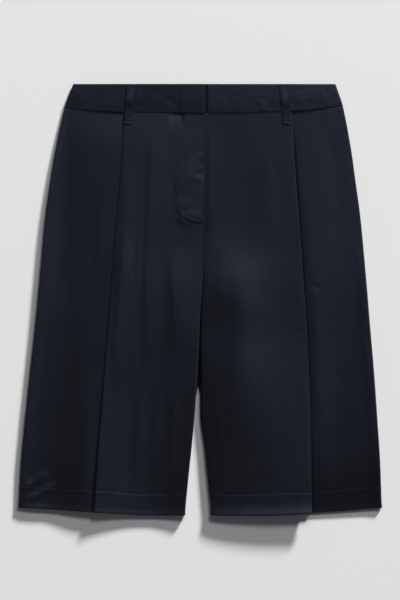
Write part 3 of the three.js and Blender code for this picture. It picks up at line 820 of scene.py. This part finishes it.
def stitches(name, cloth, spans):
    """Stitches as one object. Each span is the two ends of a stitch, x and y in millimetres
    seen from above. A ray down finds the cloth under each end, and the thread bulges over the
    cloth between them with its rounded ends sunk into it."""
    tree = BVHTree.FromObject(cloth, bpy.context.evaluated_depsgraph_get())
    turn = np.linspace(0, 2 * math.pi, STITCH_SIDES, endpoint=False)
    along = (1 - np.cos(np.linspace(0, math.pi, STITCH_RINGS + 2))) / 2
    points, faces = [], []
    for ends in spans:
        above = [Vector((x * 0.001, y * 0.001, RAY_FROM)) for x, y in ends]
        found = [tree.ray_cast(place, Vector((0, 0, -1)))[0] for place in above]
        if None in found:
            continue
        start, end = (np.array(spot) * 1000 for spot in found)
        run = (end - start) / np.linalg.norm(end - start)
        sideway = np.cross(run, (0, 0, 1))
        sideway = sideway / np.linalg.norm(sideway)
        up = np.cross(sideway, run)
        first = len(points)
        for share in along:
            radius = THREAD_RADIUS * math.sqrt(math.sin(math.pi * share)) if 0 < share < 1 else 0.0
            bulge = THREAD_RADIUS * (THREAD_BULGE * math.sin(math.pi * share) - THREAD_SINK)
            middle = mix(start, end, share) + up * bulge
            if radius == 0:
                points.append(middle)
                continue
            ring = np.outer(np.cos(turn), sideway) + np.outer(np.sin(turn), up)
            points.extend(middle + radius * ring)
        last = len(points) - 1
        for k in range(STITCH_SIDES):
            j = (k + 1) % STITCH_SIDES
            faces.append((first, first + 1 + k, first + 1 + j))
            for ring_at in range(STITCH_RINGS - 1):
                a = first + 1 + ring_at * STITCH_SIDES
                faces.append((a + j, a + k, a + STITCH_SIDES + k, a + STITCH_SIDES + j))
            a = last - STITCH_SIDES
            faces.append((a + j, a + k, last))
    mesh = bpy.data.meshes.new(name)
    mesh.from_pydata([tuple(p * 0.001) for p in points], [], faces)
    mesh.shade_smooth()
    mesh.materials.append(navy_thread)
    sewing = bpy.data.objects.new(name, mesh)
    bpy.context.scene.collection.objects.link(sewing)
    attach(sewing, "root")
    return sewing


def running_stitches(path):
    """The two ends of each stitch along a path of places, x and y."""
    path = np.array(path)
    gone = np.concatenate([[0], np.cumsum(np.hypot(*np.diff(path, axis=0).T))])
    starts = np.arange(0, gone[-1] - STITCH, STITCH + STITCH_GAP)
    return [
        [(np.interp(d, gone, path[:, 0]), np.interp(d, gone, path[:, 1])) for d in (at, at + STITCH)]
        for at in starts
    ]


def topstitch_path(inset):
    """The fly's topstitching, inset from its outer row: down, round, and in to the edge."""
    line, end = TOPSTITCH_OUT - inset, FLY_END - inset
    centre_out, centre_down = line - TOPSTITCH_TURN, end - TOPSTITCH_TURN
    turn = np.linspace(0, math.pi / 2, 25)
    out = np.concatenate([[line], centre_out + TOPSTITCH_TURN * np.cos(turn), [-3.0]])
    down = np.concatenate([[SEAM_DOWN + 4], centre_down + TOPSTITCH_TURN * np.sin(turn), [end]])
    return np.stack([-out, LENGTH / 2 - down], axis=1)


FRONT_COLUMNS = {"roll": 6, "inner": 93, "turn": 6, "under": 12, "outer": 92}
FRONT_ROWS = [(42.2, 62, 16), (62, 160, 38), (160, 206, 34), (206, 590, 148), (590, 625.2, 26)]


def make_front(name, leg, phase):
    faces = front_surface(leg, FRONT_COLUMNS, FRONT_ROWS, phase)
    piece = cloth_mesh(name + "_cloth", faces, navy_satin, leg["toward"] < 0, thin=2)
    sewing = []
    if leg is RIGHT_LEG:
        rows = [span for inset in TOPSTITCH_ROWS for span in running_stitches(topstitch_path(inset))]
        sewing = [stitches("fly_topstitching", piece, rows)]
    sewn_on(piece, name)
    return piece


make_front("front_right", RIGHT_LEG, 0.4)
make_front("front_left", LEFT_LEG, 2.1)

# The two backs
# Plain cuts of the same satin that lie on the surface, joined by the centre back seam and
# turned up at the side seams and inseams. Their shallow creases stand off the surface.
CENTRE_BACK = 4.0
RIGHT_LEG["back_folds"] = table(
    FOLD_COLUMNS,
    [
        (70, 90, 96, 420, 0.9, 14, 8, 4),
        (30, 300, 60, 520, 1.1, 12, 16, 5),
        (140, 120, 152, 300, 0.7, 9, 12, -3),
        (176, 320, 190, 575, 1.0, 15, 12, 4),
        (120, 430, 132, 590, 0.8, 8, 11, 0),
        (22, 130, 60, 150, 0.5, 5, 7, 2),
        (214, 150, 226, 330, 0.6, 8, 6, 0),
    ],
)
LEFT_LEG["back_folds"] = table(
    FOLD_COLUMNS,
    [
        (88, 80, 104, 350, 0.8, 9, 13, -4),
        (26, 310, 48, 500, 1.2, 14, 12, 5),
        (150, 200, 168, 480, 1.0, 12, 16, 5),
        (204, 300, 212, 560, 0.7, 9, 12, 0),
        (70, 460, 92, 600, 0.9, 11, 9, 3),
        (40, 110, 84, 128, 0.5, 6, 5, 2),
    ],
)


def back_line(leg, down, columns):
    """The middle line of the cloth across a back: its turned-up inner edge, the flat with its
    raised creases, and the quarter circle up to the side seam. Above the place where the legs
    part the two backs meet in the middle of the dark gap between the fronts."""
    flat_z = lift(down) + CLOTH / 2
    radius = back_curl(down)
    turn = inseam_turn(down) * math.pi / 2
    centre = leg["toward"] * CENTRE_BACK
    closed = read(CENTRE_LINE, "apart", down) / 2 * (1 - fade(434, 456, down))
    start = mix(centre, inner_edge(leg, down) - closed, fade(CROTCH - 30, CROTCH, down))
    start = start + CLOTH / 2 * np.sin(turn)
    beside = 3.2 * (1 - np.sin(turn))
    t = np.arange(columns["turn"]) / columns["turn"]
    angle = turn * (1 - t)
    parts = [(start + radius * (np.sin(turn) - np.sin(angle)) + beside * t,
              flat_z + radius * (1 - np.cos(angle)))]
    flat_from = start + radius * np.sin(turn) + beside
    flat_to = side(leg, down) - CLOTH / 2 - radius
    t = np.linspace(0, 1, columns["flat"])
    out = mix(flat_from, flat_to, t)
    ends = fade(0, 0.08, t) * fade(0, 0.08, 1 - t) * (1 - fade(LENGTH - 14, LENGTH - 2, down))
    parts.append((out, flat_z + soft_folds(leg["back_folds"], out, down) * ends))
    angle = np.arange(1, columns["turn"] + 1) / columns["turn"] * math.pi / 2
    parts.append((flat_to + radius * np.sin(angle), flat_z + radius * (1 - np.cos(angle))))
    return [np.concatenate([np.broadcast_to(p[k], (len(down), p[k].shape[1])) for p in parts], axis=1)
            for k in (0, 1)]


def back_surface(leg, columns, spans):
    """Both faces of a back's cloth, as for a front, but with its face underneath."""
    share, angle = panel_rows(spans, HEM)
    nominal = mix(SEAM_DOWN, LENGTH, share)[:, None]
    out, z = back_line(leg, nominal, columns)
    across, up = sideways(out, z)
    down = row_down(leg, out, share[:, None])
    stitched = 0.22 * np.exp(-(((row_down(leg, out, 1.0) - down - HEM) / 1.6) ** 2))
    faces = []
    centre = HEM_TURN - CLOTH / 2
    for radius in (HEM_TURN, HEM_TURN - SHELL):
        off = centre - radius * np.cos(angle)[:, None]
        x = leg["toward"] * (out + off * across)
        y = LENGTH / 2 - (down + radius * np.sin(angle)[:, None])
        faces.append(np.stack([x, y, z + off * up + stitched], axis=-1))
    return faces


BACK_COLUMNS = {"turn": 6, "flat": 121}
BACK_ROWS = [(42.2, 62, 14), (62, 590, 150), (590, 625.2, 22)]
for name, leg in (("back_right", RIGHT_LEG), ("back_left", LEFT_LEG)):
    faces = back_surface(leg, BACK_COLUMNS, BACK_ROWS)
    piece = cloth_mesh(name + "_cloth", faces, navy_satin, leg["toward"] > 0, thin=2)
    sewn_on(piece, name)

# The waistband
# A doubled, stiffened strip of satin sewn over the tops of the panels, with a rounded fold as
# its upper edge. The right front end laps over the left one, which runs on 26 mm under it.
BAND = 1.6
UNDERLAP_END = -26.0
RIGHT_BAND = table("x face", [(-196, 5.2), (-112, 7.0), (-32, 7.0), (-27, 7.4), (8, 7.4)])
LEFT_BAND = table(
    "x face",
    [(-26, 5.0), (8.5, 5.0), (11.5, 6.5), (34, 6.9), (130, 7.0), (206, 5.2)],
)


def bead(from_edge, radius):
    """The outline of a rounded edge: 0 on the edge and 1 once a radius away from it."""
    return np.sqrt(1 - (1 - np.clip(from_edge / radius, 0, 1)) ** 2)


def eased_ends(count, length, radius):
    """Places from 0 to length, close together within a radius of both ends."""
    near = radius * (1 - np.cos(np.linspace(0, math.pi / 2, 6)))
    middle = np.linspace(near[-1], length - near[-1], count)
    return np.concatenate([near[:-1], middle, length - near[:-1][::-1]])


def band_lean(x):
    """How much higher a front band stands at its upper edge than at its seam."""
    return 0.2 + 1.5 * fade(-130, -60, x) * (1 - fade(2, 24, x))


def band_surface(start_at, end_at, face_at, side_ends, lean, folds):
    """Both faces of a stretch of waistband, as rows down it and columns across. Its thickness
    narrows in a quarter circle to every edge, and at a side seam the middle leans to the
    other half of the band. Small creases stand across it, and a front band leans."""
    share = eased_ends(19, 1.0, 0.8 / SEAM_DOWN)[:, None]
    start, end = start_at(share * SEAM_DOWN), end_at(share * SEAM_DOWN)
    length = end - start
    part = eased_ends(150, 1.0, 0.008)[None, :]
    x = start + length * part
    leg_seam = np.where(x < 0, row_down(RIGHT_LEG, -x, 0.0), row_down(LEFT_LEG, x, 0.0)) - 0.1
    down = share * leg_seam
    from_start, from_end = x - start, end - x
    ends = [bead(d, 3.0 if at_side else 0.8) for d, at_side in zip((from_start, from_end), side_ends)]
    thick = bead(down, 0.9) * bead(leg_seam - down, 1.5) * ends[0] * ends[1]
    half = BAND / 2 * (0.12 + 0.88 * thick)
    tip = np.minimum(ends[0] if side_ends[0] else 1, ends[1] if side_ends[1] else 1)
    middle = face_at(x) - BAND / 2 + lean * 0.85 * BAND / 2 * (1 - tip)
    puffed = 0.22 * np.sin(math.pi * share) + soft_folds(folds, x, down) * thick
    if lean < 0:
        puffed = puffed + band_lean(x) * (1 - share)
    rows = [np.stack([x, LENGTH / 2 - down, z], axis=-1)
            for z in (middle + half + puffed, middle - half + puffed * 0.8)]
    return rows


BAND_FOLDS = table(
    FOLD_COLUMNS,
    [
        (-178, 8, -170, 34, 0.18, 5, 6, 0),
        (-150, 6, -154, 40, -0.16, 6, 5, 0),
        (-92, 6, -88, 30, 0.20, 5, 4, 0),
        (-64, 14, -30, 34, -0.30, 6, 5, 3),
        (-22, 4, -24, 40, 0.16, 3, 3, 0),
        (40, 10, 46, 38, -0.18, 6, 5, 0),
        (86, 22, 92, 42, 0.34, 4, 5, 0),
        (104, 24, 100, 43, -0.34, 3, 4, 0),
        (140, 8, 148, 30, 0.22, 5, 6, 0),
        (160, 20, 156, 42, -0.2, 4, 4, 0),
        (176, 6, 186, 36, 0.2, 5, 4, 0),
    ],
)


def right_side(down):
    return -side(RIGHT_LEG, down)


def left_side(down):
    return side(LEFT_LEG, down)


def lap_end(down):
    return read(CENTRE_LINE, "edge", down)


WAIST_PIECES = [
    ("waistband_front_left", lambda d: 0 * d + UNDERLAP_END, left_side, LEFT_BAND, (False, True), -1),
    ("waistband_front_right", right_side, lap_end, RIGHT_BAND, (True, False), -1),
    ("waistband_back", right_side, left_side, None, (True, True), 1),
]


def band_face(faces):
    """The height of a band's face at any x: by its table, or level for the back band."""
    if faces is None:
        return lambda x: LIFT + BAND + 0 * x
    return lambda x: read(faces, "face", x, "x")


for name, start_at, end_at, faces, side_ends, lean in WAIST_PIECES:
    surface = band_surface(start_at, end_at, band_face(faces), side_ends, lean, BAND_FOLDS)
    piece = cloth_mesh(name + "_cloth", surface, navy_satin, grain="across")
    sewn_on(piece, name)

# The fly shield
# A single strip behind the fly, joined to the left front's edge. Its lower right corner is
# rounded off and shows through the right front as a faint outline.
SHIELD_RIGHT, SHIELD_LEFT, SHIELD_CORNER = -36.0, 8.0, 36.0
share = np.linspace(0, 1, 41)[:, None]
down = mix(SEAM_DOWN + 1, FLY_END, share)
into_corner = np.clip((down - (FLY_END - SHIELD_CORNER)) / SHIELD_CORNER, 0, 1)
start = SHIELD_RIGHT + SHIELD_CORNER * (1 - np.sqrt(1 - 0.96 * into_corner**2))
x = mix(start, SHIELD_LEFT, eased_ends(17, 1.0, 0.02)[None, :])
edge = bead(x - start, 0.4) * bead(SHIELD_LEFT - x, 0.4) * bead(FLY_END - down, 0.4)
middle = lift(down) + CLOTH + GAP + CLOTH / 2
half = 0.35 * (0.2 + 0.8 * edge)
surface = [np.stack([x, LENGTH / 2 - down + 0 * x, middle + z], axis=-1) for z in (half, -half)]
shield = cloth_mesh("fly_shield_cloth", surface, navy_satin)
sewn_on(shield, "fly_shield")

# The belt loops
# Narrow folded strips, edge-stitched down both sides and tacked at both ends. The two front
# ones slant a little and stand off the band between their ends. The three on the back lie
# between the band and the surface.
LOOP_COLUMNS = 21
LOOP_FURROW = 1.7
TACK_DOWN = LOOP_LONG - 3.2
TACK_HALF, TACK_POINTS = 0.7, 22


def loop_surface(top_x, bottom_x, floor_at, stand, upward):
    """Both faces of a belt loop: rows run down it and columns across its width. The edges are
    rounded, two furrows follow them, and the tacked end is pressed thinner."""
    share = eased_ends(41, 1.0, 0.012)[:, None]
    down = mix(GAP, LOOP_LONG, share)
    across = np.linspace(-1, 1, LOOP_COLUMNS)[None, :]
    across = np.sin(across * math.pi / 2)
    x = mix(top_x, bottom_x, share) + across * LOOP_WIDE / 2
    from_side = (1 - np.abs(across)) * LOOP_WIDE / 2
    thick = bead(from_side, 0.6) * bead(down - GAP, 0.6) * bead(LOOP_LONG - down, 0.5)
    half = LOOP_THICK / 2 * (0.2 + 0.8 * thick)
    furrow = 0.16 * np.exp(-(((from_side - LOOP_FURROW) / 0.5) ** 2))
    furrow = furrow + 0.3 * np.exp(-(((down - TACK_DOWN) / 0.9) ** 2))
    middle = floor_at(down) + LOOP_THICK / 2
    middle = middle + stand * np.sin(math.pi * np.clip(share / 0.9, 0, 1)) ** 2
    top = middle + half - (furrow if upward else 0)
    low = middle - half + (0 if upward else furrow)
    return [np.stack([x, LENGTH / 2 - down + 0 * x, z + 0 * x], axis=-1) for z in (top, low)]


def front_loop_floor(leg, faces_at, x):
    def floor_at(down):
        on_band = read(faces_at, "face", x, "x") + band_lean(x) * (1 - down / SEAM_DOWN)
        on_panel = read(leg["heights"], "fold", down) + 0.2
        return GAP + mix(on_band, on_panel, fade(25, 38, down))

    return floor_at


def loop_stitches(top_x, bottom_x):
    """A row of stitches along both edges of a loop, and a zigzag tack across its lower end."""
    spans = []
    for edge in (LOOP_FURROW - LOOP_WIDE / 2, LOOP_WIDE / 2 - LOOP_FURROW):
        ends = [
            (mix(top_x, bottom_x, down / LOOP_LONG) + edge, LENGTH / 2 - down)
            for down in (2, TACK_DOWN - 1.5)
        ]
        spans += running_stitches(ends)
    places = np.linspace(0.8 - LOOP_WIDE / 2, LOOP_WIDE / 2 - 0.8, TACK_POINTS)
    tack_y = LENGTH / 2 - TACK_DOWN
    zigzag = [
        (bottom_x + at, tack_y + (TACK_HALF if k % 2 else -TACK_HALF))
        for k, at in enumerate(places)
    ]
    return spans + list(zip(zigzag[:-1], zigzag[1:]))


FRONT_LOOPS = [
    ("belt_loop_front_right", RIGHT_LEG, RIGHT_BAND, -100.0, -105.0),
    ("belt_loop_front_left", LEFT_LEG, LEFT_BAND, 121.0, 126.5),
]
BACK_LOOPS = [
    ("belt_loop_back_right", -112.0),
    ("belt_loop_back_centre", CENTRE_BACK),
    ("belt_loop_back_left", 120.0),
]
for name, leg, faces_at, top_x, bottom_x in FRONT_LOOPS:
    surface = loop_surface(top_x, bottom_x, front_loop_floor(leg, faces_at, bottom_x), 1.0, True)
    piece = cloth_mesh(name + "_cloth", surface, navy_satin)
    sewing = stitches(name + "_stitching", piece, loop_stitches(top_x, bottom_x))
    sewn_on(piece, name)
for name, x in BACK_LOOPS:
    surface = loop_surface(x, x, lambda down: 0 * down, 0.0, False)
    piece = cloth_mesh(name + "_cloth", surface, navy_satin)
    sewn_on(piece, name)
